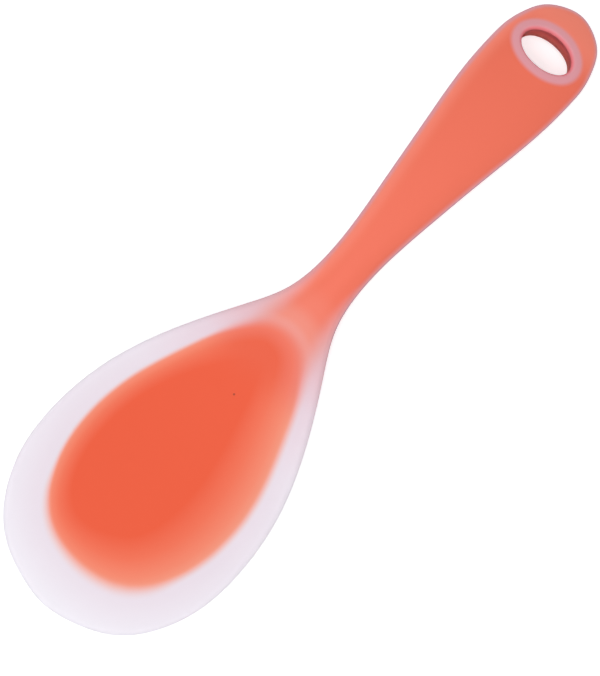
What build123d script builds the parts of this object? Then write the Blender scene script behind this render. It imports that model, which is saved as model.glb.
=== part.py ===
from build123d import *
from math import cos, pi, radians
import os

# Rice paddle: a rigid core, wholly wrapped in one skin of translucent silicone.
# +Y runs from the blade's tip to the handle's end, +Z is up, and the dished face of the blade
# looks up. The origin is under the middle of the paddle, on the surface that it lies on.
# A place is a distance from the blade's tip along Y.

os.makedirs("parts", exist_ok=True)

# Plan of the skin, in four stretches from the tip to the end
nose_length = 40.1  # tip to the widest place of the blade
flare_length = 84.6  # on to the narrowest place of the neck
swell_length = 77.9  # on to the widest place of the handle
tail_length = 22.4  # on to the handle's end
blade_width = 69.4
neck_width = 13.8
handle_width = 29.6

# Side view: thicknesses on the centre line, and heights of the mid-surface over the belly's
blade_thickness = 4.3
neck_thickness = 8.0
handle_thickness = 9.0
rim_thickness = 2.3  # all round the outline
tip_lift = 1.2
neck_rise = 7.5
crest_rise = 10.9  # at the top of the handle's arch
end_drop = 11.7  # from that crest down to the handle's end
dish_depth = 5.0  # how far the blade's sides stand over its middle

# Core: a pad in the blade, a web behind it and a shank in the handle
tip_margin = 14.6  # clear silicone between the blade's tip and the pad
side_margin = 8.25  # and between the blade's sides and the pad
pad_setback = 22.8  # from the narrowest place of the neck
pad_cover = 0.5  # silicone over the pad
web_width = 18.0
web_lap = 14.0  # how far the web reaches under the pad
web_reach = 1.5  # how far it keeps its width behind the pad
web_cover = 1.5  # silicone over it
shank_cover = 1.15
side_cover = 1.15  # silicone at the shank's sides
core_rim_thickness = 2.2

# Hang hole, an oval across the handle and square to its surface
hole_width = 16.4
hole_height = 11.2
hole_setback = 16.8  # from the handle's end
hole_radius = 1.3
lining = 2.9  # silicone between the skin's hole and the core's

# Dimple that the mould's locating pin leaves over the pad
pin_diameter = 0.8
pin_depth = 0.3
pin_setback = 23.5  # from the pad's rear end

overrun = 0.8  # how far the stock runs past the outline's ends before it is cut

blade_half = blade_width / 2
neck_half = neck_width / 2
handle_half = handle_width / 2
pad_half = blade_half - side_margin
web_half = web_width / 2
neck_place = nose_length + flare_length
swell_place = neck_place + swell_length
overall_length = swell_place + tail_length
pad_end = neck_place - pad_setback
pad_length = pad_end - tip_margin
web_place = pad_end - web_lap
web_end = pad_end + web_reach
shank_end = overall_length - side_cover
belly_height = blade_thickness / 2
end_rise = crest_rise - end_drop
rim_radius = 0.44 * rim_thickness

# Outline points: shares of a stretch's length, and of the step in half-width along it
nose_shares = ((0.045, 0.285), (0.173, 0.594), (0.45, 0.854), (0.72, 0.967))
flare_shares = ((0.25, 0.09), (0.485, 0.36), (0.695, 0.707), (0.835, 0.925))
swell_shares = ((0.31, 0.255), (0.608, 0.658), (0.826, 0.932))
tail_shares = ((0.29, 0.971), (0.53, 0.873), (0.76, 0.7), (0.93, 0.378))
pad_shares = (
    (0.04, 0.506),
    (0.103, 0.736),
    (0.198, 0.905),
    (0.374, 1.0),
    (0.549, 0.931),
    (0.707, 0.759),
    (0.836, 0.581),
    (0.931, 0.404),
    (0.976, 0.26),
)
web_front_shares = ((0.1, 0.7), (0.4, 1.0))

# Side-view points: shares of a stretch's length, and of the step in height or thickness along it
dish_end_share = 0.5  # where along the flare the dish begins to fade
blade_rise_shares = ((0.52, 0.2), (0.755, 0.52))
arch_share = 0.42  # where the arch's crest lies along the swell
end_fall_shares = ((0.4, 0.16), (0.67, 0.45), (0.84, 0.7))
blade_step_shares = ((0.25, 0.0), (0.52, 0.13), (0.755, 0.51))
handle_step_shares = ((0.35, 0.75), (0.7, 1.0))

# Cross-sections of the stock
end_steps = 7
flare_steps = 8
swell_steps = 6
handle_squareness = 0.8  # 0 is a plain lens, 1 has a flatter top and steeper sides
square_share = 0.8  # where along the swell the shoulders begin to fade
lens_share = 0.7  # where along the tail they are gone
pole_shares = (-1.0, -0.5, 0.0, 0.5, 1.0)
second_shares = (1.0, 0.0, -1 / 3, 0.0, 1.0)
fourth_shares = (1.0, -1.0, 1.0, -1.0, 1.0)
margin_share = 0.06  # how far the stock stands out past the outline's sides
nose_spare_share = 0.2  # how far the stock stands out past the rounded ends, by squares
tail_spare_share = 0.12
shank_start_share = 0.9  # where along the flare the shank's layer of silicone begins


def along(place):
    """World Y of a place."""
    return place - overall_length / 2


def stretch(start, length, value_from, value_to, shares):
    """Points on one stretch, as places and values."""
    return [(start + a * length, value_from + b * (value_to - value_from)) for a, b in shares]


def outline(points):
    """A closed symmetric curve from one end to the other, through places and half-widths."""
    right = [Vector(half, along(place)) for place, half in points]
    left = [Vector(-half, along(place)) for place, half in points[-2:0:-1]]
    return Edge.make_spline(right + left, periodic=True)


def profile(points):
    """A curve in the side view, through places and heights."""
    return Edge.make_spline([Vector(0, along(place), height) for place, height in points])


def parameter_at(edge, place, last):
    """The edge's parameter at a place, where Y grows along it from 0 to last."""
    first = 0.0
    for _ in range(40):
        middle = (first + last) / 2
        if (edge @ middle).Y < along(place):
            first = middle
        else:
            last = middle
    return first


def half_width(edge, place):
    return (edge @ parameter_at(edge, place, 0.5)).X


def height_at(edge, place):
    return (edge @ parameter_at(edge, place, 1.0)).Z


skin_outline = outline(
    [(0, 0)]
    + stretch(0, nose_length, 0, blade_half, nose_shares)
    + [(nose_length, blade_half)]
    + stretch(nose_length, flare_length, blade_half, neck_half, flare_shares)
    + [(neck_place, neck_half)]
    + stretch(neck_place, swell_length, neck_half, handle_half, swell_shares)
    + [(swell_place, handle_half)]
    + stretch(swell_place, tail_length, 0, handle_half, tail_shares)
    + [(overall_length, 0)]
)
pad_outline = outline(
    [(tip_margin, 0)] + stretch(tip_margin, pad_length, 0, pad_half, pad_shares) + [(pad_end, 0)]
)


def inset(place):
    """The shank's outline point beside the skin's at a place, side_cover further in."""
    parameter = parameter_at(skin_outline, place, 0.5)
    point = skin_outline @ parameter
    direction = skin_outline % parameter
    inner = point + Vector(-direction.Y, direction.X) * side_cover
    return inner.Y + overall_length / 2, inner.X


shank_outline = outline(
    [(web_place, 0)]
    + stretch(web_place, web_end - web_place, 0, web_half, web_front_shares)
    + [(web_end, web_half)]
    + [inset(nose_length + shank_start_share * flare_length), inset(neck_place)]
    + [inset(neck_place + a * swell_length) for a, _ in swell_shares]
    + [inset(swell_place)]
    + [inset(swell_place + a * tail_length) for a, _ in tail_shares]
    + [(shank_end, 0)]
)

crest_place = neck_place + arch_share * swell_length
dish_end = nose_length + dish_end_share * flare_length
shank_start = nose_length + shank_start_share * flare_length
square_place = neck_place + square_share * swell_length
lens_place = swell_place + lens_share * tail_length
spine = profile(
    [(-overrun, tip_lift), (0, tip_lift), (nose_length, 0)]
    + stretch(nose_length, flare_length, 0, neck_rise, blade_rise_shares)
    + [(neck_place, neck_rise), (crest_place, crest_rise)]
    + stretch(crest_place, overall_length - crest_place, crest_rise, end_rise, end_fall_shares)
    + [(overall_length, end_rise)]
)
body_thickness = profile(
    [(nose_length, blade_thickness)]
    + stretch(nose_length, flare_length, blade_thickness, neck_thickness, blade_step_shares)
    + [(neck_place, neck_thickness)]
    + stretch(neck_place, swell_length, neck_thickness, handle_thickness, handle_step_shares)
    + [(swell_place, handle_thickness)]
)


def thickness_at(place):
    return height_at(body_thickness, min(max(place, nose_length), swell_place))


def squareness_at(place):
    """How square the shoulders are: it grows from the dish to the arch's crest, and fades to a
    plain lens towards the handle's end."""
    rise = (place - dish_end) / (crest_place - dish_end)
    fall = (lens_place - place) / (lens_place - square_place)
    share = max(min(rise, fall, 1.0), 0.0)
    return handle_squareness * share**2 * (3 - 2 * share)


def end_section(place, squared, full, rim, reference, spare):
    """A section of an end that tapers as a lens does, by the square of its half-width there.

    It gives the place, the stock's half-width and its thicknesses in the middle and at that width.
    """
    step = full - rim
    share = squared / reference**2
    return place, reference * (share + spare) ** 0.5, rim + step * share, rim - step * spare


def end_squares(edge, end, length, reference):
    """Places from just past an end to its widest, closer together at the tip, and the squares of
    the half-widths there, which run on below zero past the tip."""
    beyond = overrun if length < 0 else -overrun
    rows = [(end + beyond, -2 * overrun / abs(length) * reference**2)]
    for i in range(1, end_steps + 1):
        place = end + length * (1 - cos(radians(90 * i / end_steps)))
        rows += [(place, half_width(edge, place) ** 2)]
    return rows


def section(place, half, centre, rim):
    """A section across the stock, which follows the spine and the blade's dish."""
    square = squareness_at(place)
    middle = belly_height + height_at(spine, place)
    fade = min((neck_place - place) / (neck_place - dish_end), 1.0)
    reach = half * (1 + margin_share)
    bend = dish_depth * max(fade, 0.0) * (reach / blade_half) ** 2
    round_step = (centre - rim) / 2 * (1 - square) * (1 + margin_share) ** 2
    square_step = (centre - rim) / 2 * square * (1 + margin_share) ** 4
    with BuildSketch(Plane.XZ.offset(-along(place))) as drawn:
        with BuildLine():
            upper = Bezier(*poles(reach, middle + centre / 2, bend - round_step, -square_step))
            lower = Bezier(*poles(reach, middle - centre / 2, bend + round_step, square_step))
            Line(upper @ 0, lower @ 0)
            Line(upper @ 1, lower @ 1)
        make_face()
    return drawn.sketch


def poles(reach, middle, second, fourth):
    """Poles of the curve middle + second * a**2 + fourth * a**4, for shares a of the reach."""
    return [
        (a * reach, middle + b * second + c * fourth)
        for a, b, c in zip(pole_shares, second_shares, fourth_shares)
    ]


def plan(edge):
    """The face inside an outline, below the whole paddle."""
    with BuildSketch(Plane.XY.offset(-overall_length / 2)) as drawn:
        with BuildLine():
            add(edge)
        make_face()
    return drawn.sketch


body_places = [nose_length + flare_length * i / flare_steps for i in range(1, flare_steps + 1)]
body_places += [neck_place + swell_length * i / swell_steps for i in range(1, swell_steps + 1)]


def stock_sections(edge, end, reference, full, rim, spare):
    """Sections of one tapering end: plain lenses near its tip, then square-shouldered ones."""
    length = swell_place - end if end > swell_place else nose_length
    rows = []
    for place, squared in end_squares(edge, end, length, reference):
        if squareness_at(place) == 0:
            rows += [end_section(place, squared, full, rim, reference, spare)]
        else:
            centre = rim + (full - rim) * squared / reference**2
            rows += [(place, squared**0.5, centre, rim)]
    return rows


nose = stock_sections(
    skin_outline, 0, blade_half, blade_thickness, rim_thickness, nose_spare_share
)
body = [
    (place, half_width(skin_outline, place), thickness_at(place), rim_thickness)
    for place in body_places
]
tail = stock_sections(
    skin_outline, overall_length, handle_half, handle_thickness, rim_thickness, tail_spare_share
)
with BuildPart() as outer:
    loft([section(*sizes) for sizes in nose + body + tail[-2::-1]])
    extrude(plan(skin_outline), amount=overall_length, mode=Mode.INTERSECT)

# The pad's stock is the skin's, thinner by the silicone over both faces
pad_body = [
    (place, half, centre - 2 * pad_cover, rim - 2 * pad_cover)
    for place, half, centre, rim in nose[2:] + body
    if place < neck_place
]
with BuildPart() as pad:
    loft([section(*sizes) for sizes in pad_body])
    extrude(plan(pad_outline), amount=overall_length, mode=Mode.INTERSECT)


def shank_thickness(place):
    """Thickness of the web and shank on the centre line, inside their layer of silicone."""
    share = min(max((place - web_end) / (shank_start - web_end), 0.0), 1.0)
    return thickness_at(place) - 2 * (web_cover + (shank_cover - web_cover) * share)


web_places = [web_place - overrun, (web_place + web_end) / 2, web_end]
shank_body = []
for place in web_places + [p for p in body_places if p > web_end]:
    half = half_width(shank_outline, place) if place > web_end else web_half
    centre = shank_thickness(place)
    shank_body += [(place, half, centre, min(core_rim_thickness, 0.85 * centre))]
shank_tail = stock_sections(
    shank_outline,
    shank_end,
    handle_half - side_cover,
    handle_thickness - 2 * shank_cover,
    core_rim_thickness,
    tail_spare_share,
)
with BuildPart() as shank:
    loft([section(*sizes) for sizes in shank_body + shank_tail[-2::-1]])
    extrude(plan(shank_outline), amount=overall_length, mode=Mode.INTERSECT)

# The belly rests on the ground, at the lowest place under its centre line
belly_places = [nose_length + (dish_end - nose_length) * i / 40 for i in range(41)]
belly_lows = [height_at(spine, place) - thickness_at(place) / 2 for place in belly_places]
lift = -(belly_height + min(belly_lows))
hole_parameter = parameter_at(spine, overall_length - hole_setback, 1.0)
hole_centre = spine @ hole_parameter + Vector(0, 0, belly_height + lift)
hole_normal = Vector(1, 0, 0).cross(spine % hole_parameter)
hole_plane = Plane(hole_centre, x_dir=(1, 0, 0), z_dir=hole_normal)
pin_place = pad_end - pin_setback
pin_top = belly_height + height_at(spine, pin_place) + thickness_at(pin_place) / 2 + lift

with BuildPart() as core:
    with Locations((0, 0, lift)):
        add(pad.part)
        add(shank.part)
    with BuildSketch(hole_plane.offset(-handle_thickness)):
        Ellipse(hole_width / 2 + lining, hole_height / 2 + lining)
    extrude(amount=2 * handle_thickness, mode=Mode.SUBTRACT)
core.part.label = "core"

# The rims are rounded last, because the cavity is cut much faster out of plain walls
with BuildPart() as silicone_skin:
    with Locations((0, 0, lift)):
        add(outer.part)
    with BuildSketch(hole_plane.offset(-handle_thickness)):
        Ellipse(hole_width / 2, hole_height / 2)
    extrude(amount=2 * handle_thickness, mode=Mode.SUBTRACT)
    add(core.part, mode=Mode.SUBTRACT)
    with BuildSketch(Plane.XY.offset(pin_top - pin_depth)):
        with Locations((0, along(pin_place))):
            Circle(pin_diameter / 2)
    extrude(amount=blade_thickness, mode=Mode.SUBTRACT)
    closed = edges().filter_by(lambda e: e.is_closed)
    fillet(closed.filter_by(lambda e: e.length > 2 * overall_length), radius=rim_radius)
    mouth = closed.filter_by(lambda e: 2 * hole_height < e.length < pi * hole_width)
    fillet(mouth, radius=hole_radius)
silicone_skin.part.label = "silicone_skin"

for piece in (core, silicone_skin):
    export_step(piece.part, f"parts/{piece.part.label}.step")
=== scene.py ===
import math

import bmesh
import bpy
import numpy as np
from mathutils import Matrix, Vector


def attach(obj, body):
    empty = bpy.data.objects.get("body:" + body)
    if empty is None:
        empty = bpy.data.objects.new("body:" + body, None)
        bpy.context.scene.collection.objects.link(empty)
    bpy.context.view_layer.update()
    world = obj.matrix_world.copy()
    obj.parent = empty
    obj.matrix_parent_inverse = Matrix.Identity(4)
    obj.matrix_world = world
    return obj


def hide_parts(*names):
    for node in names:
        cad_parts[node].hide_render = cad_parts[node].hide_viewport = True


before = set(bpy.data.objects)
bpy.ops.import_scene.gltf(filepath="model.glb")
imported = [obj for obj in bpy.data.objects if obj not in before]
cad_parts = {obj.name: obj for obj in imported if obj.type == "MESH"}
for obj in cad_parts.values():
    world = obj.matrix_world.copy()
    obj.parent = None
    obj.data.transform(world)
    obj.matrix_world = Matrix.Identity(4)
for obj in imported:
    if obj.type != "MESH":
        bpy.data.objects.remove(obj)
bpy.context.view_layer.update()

# Rice paddle: a rigid orange core inside one skin of translucent silicone.
# The sizes below are the part's, in millimetres. A place is a distance from the blade's tip.
LENGTH = 225.0
NOSE, FLARE, SWELL, TAIL = 40.1, 84.6, 77.9, 22.4
BLADE_HALF, NECK_HALF, HANDLE_HALF = 34.7, 6.9, 14.8
NECK_PLACE = NOSE + FLARE
SWELL_PLACE = NECK_PLACE + SWELL
BLADE_THICK, NECK_THICK, HANDLE_THICK, RIM_THICK = 4.3, 8.0, 9.0, 2.3
TIP_LIFT, NECK_RISE, CREST_RISE, END_DROP = 1.2, 7.5, 10.9, 11.7
END_RISE = CREST_RISE - END_DROP
DISH_DEPTH = 5.0
DISH_END = NOSE + 0.5 * FLARE
CREST_PLACE = NECK_PLACE + 0.42 * SWELL
SQUARENESS = 0.8
SQUARE_PLACE, LENS_PLACE = NECK_PLACE + 0.8 * SWELL, SWELL_PLACE + 0.7 * TAIL
TIP_MARGIN, PAD_HALF, PAD_COVER = 14.6, 26.45, 0.5
PAD_END = NECK_PLACE - 22.8
PAD_LENGTH = PAD_END - TIP_MARGIN
WEB_HALF = 9.0
WEB_START, WEB_END = PAD_END - 14.0, PAD_END + 1.5
WEB_COVER, SHANK_COVER, SIDE_COVER = 1.5, 1.15, 1.15
SHANK_END = LENGTH - SIDE_COVER
HOLE_WIDTH, HOLE_HEIGHT, HOLE_SETBACK, HOLE_RADIUS, LINING = 16.4, 11.2, 16.8, 1.3, 2.9
PIN_PLACE = PAD_END - 23.5

# Meshes: the rings along a rim and a lip lie closer together at their edge
RIM_STEPS = np.array([0.0, 0.01, 0.04, 0.09, 0.16, 0.26, 0.38, 0.52, 0.68, 0.84, 1.0])
LIP_STEPS = np.array([0, 0.01, 0.04, 0.1, 0.2, 0.34, 0.5, 0.68, 0.85, 1.0])
EVENNESS = 0.65
RING_COUNT, WALL_COUNT, LIP_SEARCHES = 16, 8, 12
FAR_FROM_HOLE = 30.0


def spline(knots, values, natural=True):
    """A cubic through the values, with free ends, or periodic where the last value is the first."""
    knots = np.asarray(knots, float)
    values = np.asarray(values, float)
    n = len(knots)
    step = np.diff(knots)
    slope = np.diff(values, axis=0) / step[:, None]
    a = np.zeros((n, n))
    b = np.zeros_like(values)
    for i in range(1, n - 1):
        a[i, i - 1 : i + 2] = step[i - 1], 2 * (step[i - 1] + step[i]), step[i]
        b[i] = 6 * (slope[i] - slope[i - 1])
    if natural:
        a[0, 0] = a[-1, -1] = 1
    else:
        a[0, 0], a[0, 1] = 2 * (step[0] + step[-1]), step[0]
        a[0, -2] = step[-1]
        b[0] = 6 * (slope[0] - slope[-1])
        a[-1, 0], a[-1, -1] = 1, -1
    second = np.linalg.solve(a, b)

    def at(x):
        x = np.asarray(x, float)
        i = np.clip(np.searchsorted(knots, x, side="right") - 1, 0, n - 2)
        h = step[i][..., None]
        left = (x - knots[i])[..., None]
        right = h - left
        return (
            second[i] * right**3 / (6 * h)
            + second[i + 1] * left**3 / (6 * h)
            + (values[i] / h - second[i] * h / 6) * right
            + (values[i + 1] / h - second[i + 1] * h / 6) * left
        )

    return at


def ease(share):
    """A share held between 0 and 1, with a soft start and end."""
    share = np.clip(share, 0, 1)
    return share**2 * (3 - 2 * share)


def stretch(start, length, low, high, shares):
    """Points of one stretch, each given as a share of its length and a share of its change."""
    return [(start + a * length, low + b * (high - low)) for a, b in shares]


def side_view(points):
    """A smooth height or thickness along the paddle, held level past its ends."""
    points = np.array(points)
    curve = spline(points[:, 0], points[:, 1:2])
    return lambda place: curve(np.clip(place, points[0, 0], points[-1, 0]))[..., 0]


class Outline:
    """A closed symmetric outline through places and half-widths."""

    def __init__(self, points):
        right = [(half, place) for place, half in points]
        left = [(-half, place) for place, half in points[-2:0:-1]]
        ring = np.array(right + left + right[:1], float)
        knots = np.concatenate([[0], np.cumsum(np.hypot(*np.diff(ring, axis=0).T))])
        curve = spline(knots, ring, natural=False)
        u = np.linspace(0, knots[len(points) - 1], 4001)
        self.side = curve(u)
        self.side[0, 0] = self.side[-1, 0] = 0.0
        self.run = np.concatenate([[0], np.cumsum(np.hypot(*np.diff(self.side, axis=0).T))])

    def half(self, place):
        """Half-width at a place; zero past the ends."""
        return np.interp(place, self.side[:, 1], self.side[:, 0], left=0.0, right=0.0)

    def even(self, count):
        """Points along the right side from the first end to the last, closer at the ends."""
        t = (1 - np.cos(np.linspace(0, math.pi, count))) / 2
        t = (1 - EVENNESS) * t + EVENNESS * np.linspace(0, 1, count)
        run = t * self.run[-1]
        return np.stack(
            [np.interp(run, self.run, self.side[:, 0]), np.interp(run, self.run, self.side[:, 1])],
            axis=1,
        )

    def depth(self, points):
        """Distance from the outline, above zero inside it."""
        reach = np.abs(points[:, 0])
        best = np.full(len(points), 1e9)
        for chunk in np.array_split(np.arange(len(points)), max(1, len(points) // 2000)):
            dx = reach[chunk, None] - self.side[None, ::4, 0]
            dy = points[chunk, 1][:, None] - self.side[None, ::4, 1]
            best[chunk] = np.sqrt((dx**2 + dy**2).min(axis=1))
        inside = reach < self.half(points[:, 1])
        return np.where(inside, best, -best)


NOSE_SHARES = ((0.045, 0.285), (0.173, 0.594), (0.45, 0.854), (0.72, 0.967))
FLARE_SHARES = ((0.25, 0.09), (0.485, 0.36), (0.695, 0.707), (0.835, 0.925))
SWELL_SHARES = ((0.31, 0.255), (0.608, 0.658), (0.826, 0.932))
TAIL_SHARES = ((0.29, 0.971), (0.53, 0.873), (0.76, 0.7), (0.93, 0.378))
PAD_SHARES = (
    (0.04, 0.506), (0.103, 0.736), (0.198, 0.905), (0.374, 1.0), (0.549, 0.931),
    (0.707, 0.759), (0.836, 0.581), (0.931, 0.404), (0.976, 0.26),
)

skin_outline = Outline(
    [(0, 0)]
    + stretch(0, NOSE, 0, BLADE_HALF, NOSE_SHARES)
    + [(NOSE, BLADE_HALF)]
    + stretch(NOSE, FLARE, BLADE_HALF, NECK_HALF, FLARE_SHARES)
    + [(NECK_PLACE, NECK_HALF)]
    + stretch(NECK_PLACE, SWELL, NECK_HALF, HANDLE_HALF, SWELL_SHARES)
    + [(SWELL_PLACE, HANDLE_HALF)]
    + stretch(SWELL_PLACE, TAIL, 0, HANDLE_HALF, TAIL_SHARES)
    + [(LENGTH, 0)]
)
pad_outline = Outline(
    [(TIP_MARGIN, 0)] + stretch(TIP_MARGIN, PAD_LENGTH, 0, PAD_HALF, PAD_SHARES) + [(PAD_END, 0)]
)


def inset(place):
    """The point that lies SIDE_COVER inside the skin's outline, beside a place on it."""
    i = int(np.searchsorted(skin_outline.side[:, 1], place))
    i = min(max(i, 1), len(skin_outline.side) - 2)
    along = skin_outline.side[i + 1] - skin_outline.side[i - 1]
    along /= np.hypot(*along)
    point = skin_outline.side[i] + np.array([-along[1], along[0]]) * SIDE_COVER
    return point[1], point[0]


shank_outline = Outline(
    [(WEB_START, 0)]
    + stretch(WEB_START, WEB_END - WEB_START, 0, WEB_HALF, ((0.1, 0.7), (0.4, 1.0)))
    + [(WEB_END, WEB_HALF)]
    + [inset(NOSE + 0.9 * FLARE), inset(NECK_PLACE)]
    + [inset(NECK_PLACE + a * SWELL) for a, _ in SWELL_SHARES]
    + [inset(SWELL_PLACE)]
    + [inset(SWELL_PLACE + a * TAIL) for a, _ in TAIL_SHARES]
    + [(SHANK_END, 0)]
)
spine = side_view(
    [(-0.8, TIP_LIFT), (0, TIP_LIFT), (NOSE, 0)]
    + stretch(NOSE, FLARE, 0, NECK_RISE, ((0.52, 0.2), (0.755, 0.52)))
    + [(NECK_PLACE, NECK_RISE), (CREST_PLACE, CREST_RISE)]
    + stretch(
        CREST_PLACE, LENGTH - CREST_PLACE, CREST_RISE, END_RISE, ((0.4, 0.16), (0.67, 0.45), (0.84, 0.7))
    )
    + [(LENGTH, END_RISE)]
)
body_thickness = side_view(
    [(NOSE, BLADE_THICK)]
    + stretch(NOSE, FLARE, BLADE_THICK, NECK_THICK, ((0.25, 0.0), (0.52, 0.13), (0.755, 0.51)))
    + [(NECK_PLACE, NECK_THICK)]
    + stretch(NECK_PLACE, SWELL, NECK_THICK, HANDLE_THICK, ((0.35, 0.75), (0.7, 1.0)))
    + [(SWELL_PLACE, HANDLE_THICK)]
)
# Under the blade the spine's curve dips this far below zero
BELLY_DIP = 0.081
LIFT = BLADE_THICK / 2 + BELLY_DIP


def middle(points):
    """Height of the mid-surface at plan points."""
    fade = np.clip((NECK_PLACE - points[:, 1]) / (NECK_PLACE - DISH_END), 0, 1)
    return LIFT + spine(points[:, 1]) + DISH_DEPTH * fade * (points[:, 0] / BLADE_HALF) ** 2


def thickness(points, cover=0.0):
    """Thickness of the skin at plan points, or of what lies a cover inside it."""
    place = points[:, 1]
    half = np.maximum(skin_outline.half(place), 1e-6)
    share = np.clip(np.abs(points[:, 0]) / half, 0, 1)
    rise = (place - DISH_END) / (CREST_PLACE - DISH_END)
    fall = (LENS_PLACE - place) / (LENS_PLACE - SQUARE_PLACE)
    square = SQUARENESS * ease(np.minimum(rise, fall))
    reference = np.where(place < NOSE, BLADE_HALF, np.where(place > SWELL_PLACE, HANDLE_HALF, half))
    step = (body_thickness(place) - RIM_THICK) * np.minimum(half / reference, 1) ** 2
    crown = 1 - (1 - square) * share**2 - square * share**4
    return RIM_THICK + step * crown - 2 * cover


def rounding(depth, radius):
    """How far a rounded edge lies below its surface, from 1 at the edge to 0."""
    t = np.clip(depth / radius, 0, 1)
    return 1 - np.sqrt(np.clip(1 - (1 - t) ** 2, 0, 1))


hole_place = LENGTH - HOLE_SETBACK
hole_slope = float(spine(np.array([hole_place + 0.5]))[0] - spine(np.array([hole_place - 0.5]))[0])
hole_along = np.array([0, 1, hole_slope]) / math.hypot(1, hole_slope)
hole_up = np.array([0, -hole_slope, 1]) / math.hypot(1, hole_slope)
hole_centre = np.array([0, hole_place, float(middle(np.array([[0.0, hole_place]]))[0])])


class Slab:
    """A closed slab between two heights over an outline, with an oval hole and rounded rims.

    Its mesh follows the outline: bands along the rim, ribs across the middle, and rings round the hole.
    """

    def __init__(self, outline, cover, rim_depth, hole_half, hole_rim, side_count, rib_count):
        self.outline = outline
        self.cover = cover
        self.rim_depth = rim_depth
        self.hole_half = hole_half
        self.hole_rim = hole_rim
        self.side_count = side_count
        self.rib_count = rib_count
        self.points = []
        self.faces = []
        self.lips = {}

    def heights(self, plan, upper, depth=None):
        """Heights of one face of the slab at plan points, whose depth is worked out if not given."""
        thick = thickness(plan, self.cover(plan))
        if depth is None:
            depth = self.outline.depth(plan)
        lower = rounding(np.maximum(depth, 0), self.rim_depth) * thick / 2
        half = thick / 2 - lower
        return middle(plan) + (half if upper else -half)

    def add(self, points):
        """Adds points and gives their indices."""
        start = len(self.points)
        self.points += [tuple(p) for p in points]
        return np.arange(start, start + len(points))

    def face(self, indices, flip):
        """Adds a face, without the corners that fall together."""
        ring = []
        for i in indices:
            if not ring or i != ring[-1]:
                ring.append(int(i))
        if ring[0] == ring[-1]:
            ring.pop()
        if len(ring) > 2:
            self.faces.append(ring[::-1] if flip else ring)

    def strip(self, first, second, flip, closed=False):
        """Adds the faces between two rows of points."""
        count = len(first)
        for i in range(count if closed else count - 1):
            j = (i + 1) % count
            self.face((first[i], first[j], second[j], second[i]), flip)

    def build(self):
        """Both faces from the shared edge inward, then the hole's wall."""
        n = self.side_count
        right = self.outline.even(n)
        ring = np.concatenate([right, right[-2:0:-1] * [-1, 1]])
        tangent = np.roll(ring, -1, axis=0) - np.roll(ring, 1, axis=0)
        tangent /= np.hypot(*tangent.T)[:, None]
        inward = np.stack([-tangent[:, 1], tangent[:, 0]], axis=1)
        inward[0], inward[n - 1] = (0, 1), (0, -1)
        ring[0, 0] = ring[n - 1, 0] = 0
        edge = self.add(np.column_stack([ring, middle(ring)]))
        for upper in (True, False):
            rows = [edge]
            for depth in self.rim_depth * RIM_STEPS[1:]:
                plan = ring + inward * depth
                plan[0, 0] = plan[n - 1, 0] = 0
                rows.append(self.add(np.column_stack([plan, self.heights(plan, upper, depth)])))
            for first, second in zip(rows, rows[1:]):
                self.strip(first, second, not upper, closed=True)
            self.fill(rows[-1], upper)
        if self.hole_half:
            # Lies over the wall's own rows
            self.strip(self.lips[True], self.wall(), False, closed=True)

    def fill(self, rim, upper):
        """Ribs from the rim's left side to its right, and rings round the hole."""
        n = self.side_count
        rights = rim[:n]
        lefts = np.concatenate([[rim[0]], rim[: n - 1 : -1], [rim[n - 1]]])
        m = self.rib_count
        places = np.array([self.points[i][1] for i in rights])
        last = n - 1
        if self.hole_half:
            last = int(np.searchsorted(places, hole_place - self.hole_half[1] * 2.0))
        previous = None
        for k in range(1, last + 1):
            if k == n - 1:
                row = np.full(m + 1, rights[k])
            else:
                a, b = np.array(self.points[lefts[k]]), np.array(self.points[rights[k]])
                share = np.linspace(0, 1, m + 1)[1:-1, None]
                plan = (a + (b - a) * share)[:, :2]
                inner = self.add(np.column_stack([plan, self.heights(plan, upper)]))
                row = np.concatenate([[lefts[k]], inner, [rights[k]]])
            before = previous if previous is not None else np.full(m + 1, rim[0])
            self.strip(before, row, upper)
            previous = row
        if not self.hole_half:
            return
        border = list(previous) + list(rights[last + 1 : n]) + list(lefts[last + 1 : n - 1][::-1])
        self.rings(np.array(border), upper)

    def rings(self, border, upper):
        """Rings between a border round the handle's end and the hole's lip."""
        outer = np.array([self.points[i] for i in border])
        a, b = self.hole_half
        rel = outer[:, :2] - hole_centre[:2]
        angle = np.unwrap(np.arctan2(rel[:, 1] / b, rel[:, 0] / a))
        turn = np.linspace(0, 2 * math.pi, len(angle) + 1)[:-1] * np.sign(angle[5] - angle[0])
        angle = (1 - EVENNESS) * angle + EVENNESS * (angle[0] + turn)
        rows = [self.lip(angle, e, upper) for e in self.hole_rim * LIP_STEPS]
        self.lips[upper] = rows[0]
        inner = np.array([self.points[i] for i in rows[-1]])
        for k in range(1, RING_COUNT):
            s = k / RING_COUNT
            plan = inner[:, :2] * (1 - s) + outer[:, :2] * s
            rows.append(self.add(np.column_stack([plan, self.heights(plan, upper)])))
        rows.append(border)
        for first, second in zip(rows, rows[1:]):
            self.strip(first, second, upper, closed=True)

    def lip(self, angle, e, upper):
        """Points of one ring of the hole's rounded lip, e out from the hole's wall."""
        a, b = self.hole_half
        base = (
            hole_centre
            + np.cos(angle)[:, None] * (a + e) * np.array([1, 0, 0])
            + np.sin(angle)[:, None] * (b + e) * hole_along
        )
        up = np.zeros(len(angle))
        for _ in range(LIP_SEARCHES):
            now = base + up[:, None] * hole_up
            up += (self.heights(now[:, :2], upper) - now[:, 2]) / hole_up[2]
        drop = self.hole_rim * rounding(np.array([e]), self.hole_rim)[0] if self.hole_rim else 0
        up += -drop if upper else drop
        return self.add(base + up[:, None] * hole_up)

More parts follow.
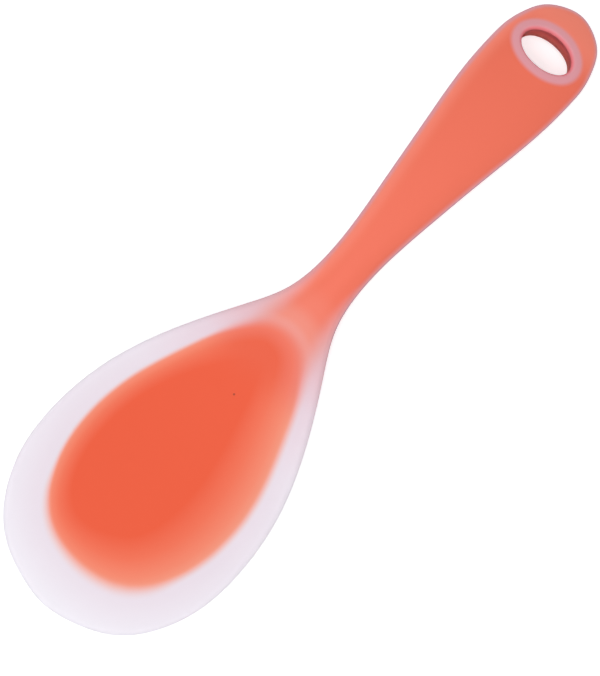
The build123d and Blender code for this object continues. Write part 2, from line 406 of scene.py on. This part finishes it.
    def wall(self):
        """Adds the hole's wall from its upper lip to its lower one, and gives its last inner row."""
        top = np.array([self.points[i] for i in self.lips[True]])
        low = np.array([self.points[i] for i in self.lips[False]])
        previous = self.lips[True]
        for k in range(1, WALL_COUNT):
            s = k / WALL_COUNT
            row = self.add(top * (1 - s) + low * s)
            self.strip(previous, row, True, closed=True)
            previous = row
        self.strip(previous, self.lips[False], True, closed=True)
        return previous

    def mesh(self, name):
        """The slab's mesh in the scene's metres, and its points in millimetres from the tip."""
        me = bpy.data.meshes.new(name)
        points = np.array(self.points)
        world = (points - [0, LENGTH / 2, 0]) / 1000
        me.from_pydata([tuple(p) for p in world], [], self.faces)
        me.validate()
        me.polygons.foreach_set("use_smooth", [True] * len(me.polygons))
        me.update()
        return me, points


def pad_cover(plan):
    return np.full(len(plan), PAD_COVER)


def shank_cover(plan):
    share = np.clip((plan[:, 1] - WEB_END) / (NOSE + 0.9 * FLARE - WEB_END), 0, 1)
    return WEB_COVER + (SHANK_COVER - WEB_COVER) * share


def no_cover(plan):
    return np.zeros(len(plan))


def mesh_object(name, me):
    obj = bpy.data.objects.new(name, me)
    bpy.context.scene.collection.objects.link(obj)
    return obj


def add_value(me, name, values):
    """Gives each point of the mesh a number that the material reads."""
    me.attributes.new(name, "FLOAT", "POINT").data.foreach_set("value", values.astype(np.float32))


def outward(target, sources):
    """Puts the sources' faces together in the target and turns them outward."""
    bm = bmesh.new()
    for me in sources:
        bm.from_mesh(me)
    bmesh.ops.recalc_face_normals(bm, faces=bm.faces)
    bm.to_mesh(target)
    bm.free()


hole_half = (HOLE_WIDTH / 2, HOLE_HEIGHT / 2)
core_hole_half = (hole_half[0] + LINING, hole_half[1] + LINING)
skin_slab = Slab(
    skin_outline,
    no_cover,
    rim_depth=1.5,
    hole_half=hole_half,
    hole_rim=HOLE_RADIUS,
    side_count=420,
    rib_count=56,
)
skin_slab.build()
skin_mesh, skin_points = skin_slab.mesh("clear_skin")


def lip_distance(points):
    """Distance of points from the hole's wall, square to the hole's axis."""
    rel = points - hole_centre
    flat = np.stack([rel[:, 0], rel @ hole_along], axis=1)
    t = np.linspace(0, 2 * math.pi, 240)
    oval = np.stack([hole_half[0] * np.cos(t), hole_half[1] * np.sin(t)], axis=1)
    close = np.hypot(*flat.T) <= FAR_FROM_HOLE
    found = np.full(len(points), FAR_FROM_HOLE)
    found[close] = np.sqrt(((flat[close, None] - oval[None]) ** 2).sum(axis=2).min(axis=1))
    return found


place = skin_points[:, 1]
rim_depth = skin_outline.depth(skin_points)
above = skin_points[:, 2] - middle(skin_points)
pad_depth = pad_outline.depth(skin_points) + 0.7 * ease((32 - place) / 14)
lip_depth = lip_distance(skin_points)
right_side = ease(0.5 + skin_points[:, 0] / 40)
shank_reach = shank_outline.depth(skin_points) + 0.15 + 0.75 * right_side
shank_depth = np.minimum(shank_reach, lip_depth - LINING)
bore = (skin_points - hole_centre) @ hole_up / (HANDLE_THICK / 2)
in_wall = ease(1.25 - lip_depth / 0.9)

# The silicone blurs what lies deep in it: each edge of the core is soft over its own width. On the right
# side the pad's edge band is also made wider and lighter: a painted sheen.
pad_blur = 1.1 + 0.9 * right_side + 1.6 * ease((34 - place) / 22) + 1.8 * ease((place - 84) / 16)
shank_blur = 1.0 + 3.6 * ease((128 - place) / 24)
add_value(skin_mesh, "pad_edge", pad_depth / pad_blur)
add_value(skin_mesh, "pad_inner_with_sheen", pad_depth / (6.0 + 12.0 * right_side))
add_value(skin_mesh, "pad_depth", pad_depth)
add_value(skin_mesh, "shank_edge", shank_depth / shank_blur)
add_value(skin_mesh, "rim_depth", rim_depth)
add_value(skin_mesh, "place", place)
# left_depth marks the handle's left edge, which the material paints lighter as painted light
add_value(skin_mesh, "left_depth", rim_depth + 12 * ease(skin_points[:, 0] / 8))
add_value(skin_mesh, "in_wall", in_wall)
add_value(skin_mesh, "bore", bore)
add_value(skin_mesh, "upper", (above > 0).astype(float))
add_value(skin_mesh, "seam", above)
outward(skin_mesh, [skin_mesh])
skin = mesh_object("clear_skin", skin_mesh)

pad_slab = Slab(
    pad_outline, pad_cover, rim_depth=0.6, hole_half=None, hole_rim=0, side_count=220, rib_count=40
)
pad_slab.build()
shank_slab = Slab(
    shank_outline,
    shank_cover,
    rim_depth=0.9,
    hole_half=core_hole_half,
    hole_rim=0.4,
    side_count=260,
    rib_count=28,
)
shank_slab.build()
pad_mesh, _ = pad_slab.mesh("pad")
shank_mesh, _ = shank_slab.mesh("shank")
core_mesh = bpy.data.meshes.new("orange_core")
outward(core_mesh, [pad_mesh, shank_mesh])
core = mesh_object("orange_core", core_mesh)

for piece, node, slot in ((skin, "silicone_skin", "clear_silicone"), (core, "core", "core_plastic")):
    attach(piece, "root")
    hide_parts(node)


def linear(*seen):
    """A colour given as it is seen, from 0 to 255, in the scene's linear values."""
    shares = [c / 255 for c in seen]
    return tuple(c / 12.92 if c <= 0.04045 else ((c + 0.055) / 1.055) ** 2.4 for c in shares) + (1,)


def material(name):
    """A new material with its node tree and shader."""
    mat = bpy.data.materials.new(name)
    mat.use_nodes = True
    tree = mat.node_tree
    shader = tree.nodes["Principled BSDF"]
    return mat, tree, shader


def ramp(tree, source, stops, interpolation="LINEAR"):
    """A colour from a number between 0 and 1, through stops."""
    node = tree.nodes.new("ShaderNodeValToRGB")
    node.color_ramp.interpolation = interpolation
    while len(node.color_ramp.elements) < len(stops):
        node.color_ramp.elements.new(0.5)
    for element, (place, colour) in zip(node.color_ramp.elements, stops):
        element.position = place
        element.color = colour
    tree.links.new(source, node.inputs["Fac"])
    return node.outputs["Color"]


def attribute(tree, name):
    node = tree.nodes.new("ShaderNodeAttribute")
    node.attribute_name = name
    return node.outputs["Fac"]


def vector_maths(tree, operation, source, second=None):
    node = tree.nodes.new("ShaderNodeVectorMath")
    node.operation = operation
    tree.links.new(source, node.inputs[0])
    if second is not None:
        node.inputs[1].default_value = second
    return node


def maths(tree, operation, *values, clamp=False):
    node = tree.nodes.new("ShaderNodeMath")
    node.operation = operation
    node.use_clamp = clamp
    for socket, value in zip(node.inputs, values):
        if isinstance(value, (int, float)):
            socket.default_value = value
        else:
            tree.links.new(value, socket)
    return node.outputs[0]


def spread(tree, source, low, high, interpolation="SMOOTHERSTEP"):
    """A number spread from 0 at the low value to 1 at the high one, which may be the smaller."""
    node = tree.nodes.new("ShaderNodeMapRange")
    node.interpolation_type = interpolation
    node.inputs["From Min"].default_value = low
    node.inputs["From Max"].default_value = high
    tree.links.new(source, node.inputs["Value"])
    return node.outputs["Result"]


def noise(tree, where, scale, detail):
    """Noise over the object's own coordinates, with its scale per metre."""
    node = tree.nodes.new("ShaderNodeTexNoise")
    node.inputs["Scale"].default_value = scale
    node.inputs["Detail"].default_value = detail
    tree.links.new(where.outputs["Object"], node.inputs["Vector"])
    return node.outputs["Fac"]


def mix(tree, factor, first, second):
    """A mix of two colours, each a plain one or another node's."""
    node = tree.nodes.new("ShaderNodeMix")
    node.data_type = "RGBA"
    tree.links.new(factor, node.inputs["Factor"])
    for name, value in (("A", first), ("B", second)):
        socket = [i for i in node.inputs if i.name == name and i.type == "RGBA"][0]
        if isinstance(value, tuple):
            socket.default_value = value
        else:
            tree.links.new(value, socket)
    return [o for o in node.outputs if o.type == "RGBA"][0]


PAD = linear(230, 88, 55)
SHANK = linear(235, 112, 88)
RING = linear(222, 152, 160)

skin_mat, tree, shader = material("milky_silicone")
where = tree.nodes.new("ShaderNodeTexCoord")
cloud = noise(tree, where, 45, 3)
drift = maths(tree, "MULTIPLY_ADD", cloud, 0.5, -0.25)

# Clear silicone beside the core takes on its colour towards the neck
place_from_tip = attribute(tree, "place")
milk = ramp(
    tree,
    spread(tree, place_from_tip, 70, 126, "LINEAR"),
    [
        (0.0, linear(240, 229, 239)),
        (0.32, linear(238, 217, 228)),
        (0.48, linear(236, 198, 207)),
        (0.63, linear(231, 184, 190)),
        (0.8, linear(226, 164, 170)),
        (1.0, linear(222, 152, 160)),
    ],
)
far_from_pad = spread(tree, attribute(tree, "pad_depth"), -2, -13, "LINEAR")
pale = maths(tree, "MULTIPLY", far_from_pad, spread(tree, place_from_tip, 100, 70, "LINEAR"))
milk = mix(tree, pale, milk, linear(246, 242, 250))
shank_soft = maths(tree, "ADD", attribute(tree, "shank_edge"), drift)
# Painted light: the handle's left edge and its end are painted lighter, standing in for how the lamps
# fall on them
painted_light_left_and_end = maths(
    tree,
    "MAXIMUM",
    spread(tree, attribute(tree, "left_depth"), 6.0, 0.5),
    spread(tree, place_from_tip, 206, 220),
)
band = ramp(
    tree,
    spread(tree, attribute(tree, "pad_depth"), -16, 0, "LINEAR"),
    [
        (0.0, SHANK),
        (0.45, linear(235, 120, 98)),
        (0.78, linear(233, 136, 119)),
        (1.0, linear(232, 152, 141)),
    ],
    "EASE",
)
band = mix(tree, maths(tree, "MULTIPLY", painted_light_left_and_end, 0.6), band, linear(248, 142, 121))
over_shank = spread(tree, shank_soft, -0.85, 1.25)
colour = mix(tree, over_shank, milk, band)
pad_soft = maths(tree, "ADD", attribute(tree, "pad_edge"), maths(tree, "MULTIPLY", drift, 0.6))
# The pad darkens from its edge to its middle; its wider, lighter band on the right side is painted sheen
pad_colour = ramp(
    tree,
    attribute(tree, "pad_inner_with_sheen"),
    [
        (0.0, linear(237, 152, 128)),
        (0.2, linear(237, 131, 104)),
        (0.5, linear(235, 111, 82)),
        (0.8, linear(232, 97, 67)),
        (1.0, PAD),
    ],
)
neck_colour = ramp(
    tree,
    attribute(tree, "pad_inner_with_sheen"),
    [(0.0, linear(232, 132, 118)), (0.25, linear(232, 112, 90)), (0.6, linear(228, 92, 62))],
)
pad_colour = mix(tree, spread(tree, place_from_tip, 78, 95), pad_colour, neck_colour)
over_pad = spread(tree, pad_soft, -0.9, 0.9)
colour = mix(tree, over_pad, colour, pad_colour)

# The flank of the handle is a thin grey-mauve line: partly the thick silicone's own tint, partly painted
# shade of the side seen edge-on
in_handle = spread(tree, place_from_tip, 92, 116)
flank_tint_and_shade = maths(tree, "MULTIPLY", spread(tree, attribute(tree, "rim_depth"), 0.5, 0.1), in_handle)
colour = mix(tree, maths(tree, "MULTIPLY", flank_tint_and_shade, 0.7), colour, linear(186, 148, 162))

# The hole's wall is a deep red, with a pink upper lip, a greyer lower one and a dark line just above
# that; its reds are painted lighter than the silicone's own, a painted glow for the light carried
# through the silicone
lip = attribute(tree, "in_wall")
wall = ramp(
    tree,
    spread(tree, attribute(tree, "bore"), -1, 1, "LINEAR"),
    [
        (0.0, linear(206, 160, 165)),
        (0.08, linear(130, 96, 100)),
        (0.16, linear(222, 138, 138)),
        (0.3, linear(248, 134, 120)),
        (0.52, linear(252, 122, 116)),
        (0.7, linear(234, 112, 114)),
        (0.86, linear(228, 130, 140)),
        (1.0, RING),
    ],
)
colour = mix(tree, lip, colour, wall)

# Dimple of the mould's locating pin, painted dark: painted shade in its hollow
pin_at = (0, (PIN_PLACE - LENGTH / 2) / 1000, 0)
apart = vector_maths(tree, "SUBTRACT", where.outputs["Object"], pin_at)
flat = vector_maths(tree, "MULTIPLY", apart.outputs[0], (1, 1, 0))
reach = vector_maths(tree, "LENGTH", flat.outputs[0])
pin = maths(
    tree,
    "MULTIPLY",
    spread(tree, reach.outputs["Value"], 0.00045, 0.00015),
    attribute(tree, "upper"),
)
colour = mix(tree, maths(tree, "MULTIPLY", pin, 0.7), colour, linear(120, 45, 35))
tree.links.new(colour, shader.inputs["Base Color"])

# Only the rim beside the core lets light through
covered = maths(tree, "MAXIMUM", over_pad, maths(tree, "MAXIMUM", over_shank, in_handle))
clear = maths(tree, "MULTIPLY", maths(tree, "SUBTRACT", 1.0, covered, clamp=True), 0.15)
tree.links.new(clear, shader.inputs["Transmission Weight"])
shader.inputs["IOR"].default_value = 1.41
shader.inputs["Specular IOR Level"].default_value = 0.3

# Relief: a fine grain, the mould's seam round the edge and the pin's dimple
grain = noise(tree, where, 1400, 5)
wear = noise(tree, where, 120, 6)
rough = maths(tree, "MULTIPLY_ADD", wear, 0.14, 0.4)
tree.links.new(rough, shader.inputs["Roughness"])
ridge = maths(
    tree,
    "MULTIPLY",
    spread(tree, maths(tree, "ABSOLUTE", attribute(tree, "seam")), 0.16, 0.03),
    spread(tree, attribute(tree, "rim_depth"), 0.5, 0.1),
)
relief = maths(tree, "MULTIPLY_ADD", grain, 0.12, maths(tree, "SUBTRACT", ridge, pin))
bump = tree.nodes.new("ShaderNodeBump")
bump.inputs["Strength"].default_value = 0.35
bump.inputs["Distance"].default_value = 0.00012
tree.links.new(relief, bump.inputs["Height"])
tree.links.new(bump.outputs["Normal"], shader.inputs["Normal"])
skin.data.materials.append(skin_mat)

core_mat, tree, shader = material("orange_plastic")
where = tree.nodes.new("ShaderNodeTexCoord")
colour = ramp(
    tree,
    noise(tree, where, 400, 5),
    [(0.3, linear(232, 88, 58)), (0.7, linear(240, 100, 70))],
    "EASE",
)
tree.links.new(colour, shader.inputs["Base Color"])
shader.inputs["Roughness"].default_value = 0.5
core.data.materials.append(core_mat)

# Floor: lit as any surface, and white to the camera and through the silicone
FLOOR, FLOOR_GLOW = 3, 0.47
floor_mesh = bpy.data.meshes.new("floor")
corners = [(x * FLOOR, y * FLOOR, 0) for x, y in ((-1, -1), (1, -1), (1, 1), (-1, 1))]
floor_mesh.from_pydata(corners, [], [(0, 1, 2, 3)])
floor = mesh_object("floor", floor_mesh)
floor_mat, tree, shader = material("floor")
shader.inputs["Base Color"].default_value = (0.88, 0.88, 0.9, 1)
shader.inputs["Roughness"].default_value = 0.9
shader.inputs["Specular IOR Level"].default_value = 0.0
rays = tree.nodes.new("ShaderNodeLightPath")
glow = tree.nodes.new("ShaderNodeEmission")
glow.inputs["Color"].default_value = (1, 1, 1, 1)
seen = maths(tree, "MAXIMUM", rays.outputs["Is Camera Ray"], rays.outputs["Is Transmission Ray"])
tree.links.new(maths(tree, "MULTIPLY", seen, FLOOR_GLOW), glow.inputs["Strength"])
both = tree.nodes.new("ShaderNodeAddShader")
tree.links.new(shader.outputs[0], both.inputs[0])
tree.links.new(glow.outputs[0], both.inputs[1])
tree.links.new(both.outputs[0], tree.nodes["Material Output"].inputs["Surface"])
floor.data.materials.append(floor_mat)

# Camera: almost straight above, a little towards the tip and to the right
TILT_BACK, TILT_SIDE = math.radians(6), math.radians(3.9)
ROLL = math.radians(47.52)
LENS, SENSOR = 175.0, 36
FRAME_HEIGHT = 676
# Pixels to a millimetre, and how far the paddle's middle lies from the picture's middle, in pixels
SCALE = 3.583
OFF_RIGHT, OFF_UP = 16.4, 33.7
MIDDLE_HEIGHT = 0.006
distance = FRAME_HEIGHT / SCALE / 1000 * LENS / SENSOR
away = Vector((math.sin(TILT_SIDE), -math.sin(TILT_BACK), 0))
away.z = math.sqrt(1 - away.length_squared)
along = (Vector((0, 1, 0)) - away * away.y).normalized()
across = along.cross(away)
right = along * math.cos(ROLL) + across * math.sin(ROLL)
up = away.cross(right)
aim = Vector((0, 0, MIDDLE_HEIGHT))
aim -= right * (OFF_RIGHT / SCALE / 1000) + up * (OFF_UP / SCALE / 1000)
camera_data = bpy.data.cameras.new("camera")
camera_data.lens = LENS
camera_data.sensor_width = SENSOR
camera_data.sensor_height = SENSOR
camera = bpy.data.objects.new("camera", camera_data)
bpy.context.scene.collection.objects.link(camera)
turn = Matrix((right, up, away)).transposed().to_4x4()
camera.matrix_world = Matrix.Translation(aim + away * distance) @ turn
bpy.context.scene.camera = camera


def lamp(name, place, size, power):
    """A round soft lamp that shines at the paddle."""
    data = bpy.data.lights.new(name, "AREA")
    data.shape = "DISK"
    data.size = size
    data.energy = power
    obj = bpy.data.objects.new(name, data)
    bpy.context.scene.collection.objects.link(obj)
    obj.location = place
    obj.rotation_euler = (-Vector(place)).to_track_quat("-Z", "Y").to_euler()


lamp("top", (0, 0, 1.55), 1.6, 5.2)
lamp("front", (0, -0.78, 1.35), 0.8, 6.8)
lamp("left", (-1.2, -0.2, 1.0), 1.0, 3.4)
lamp("right", (1.2, -0.2, 1.0), 1.0, 3.4)
world = bpy.data.worlds.new("world")
bpy.context.scene.world = world
world.use_nodes = True
background = world.node_tree.nodes["Background"]
background.inputs["Color"].default_value = (1, 1, 1, 1)
background.inputs["Strength"].default_value = 0.5
bpy.context.scene.view_settings.view_transform = "Standard"

bpy.context.view_layer.update()
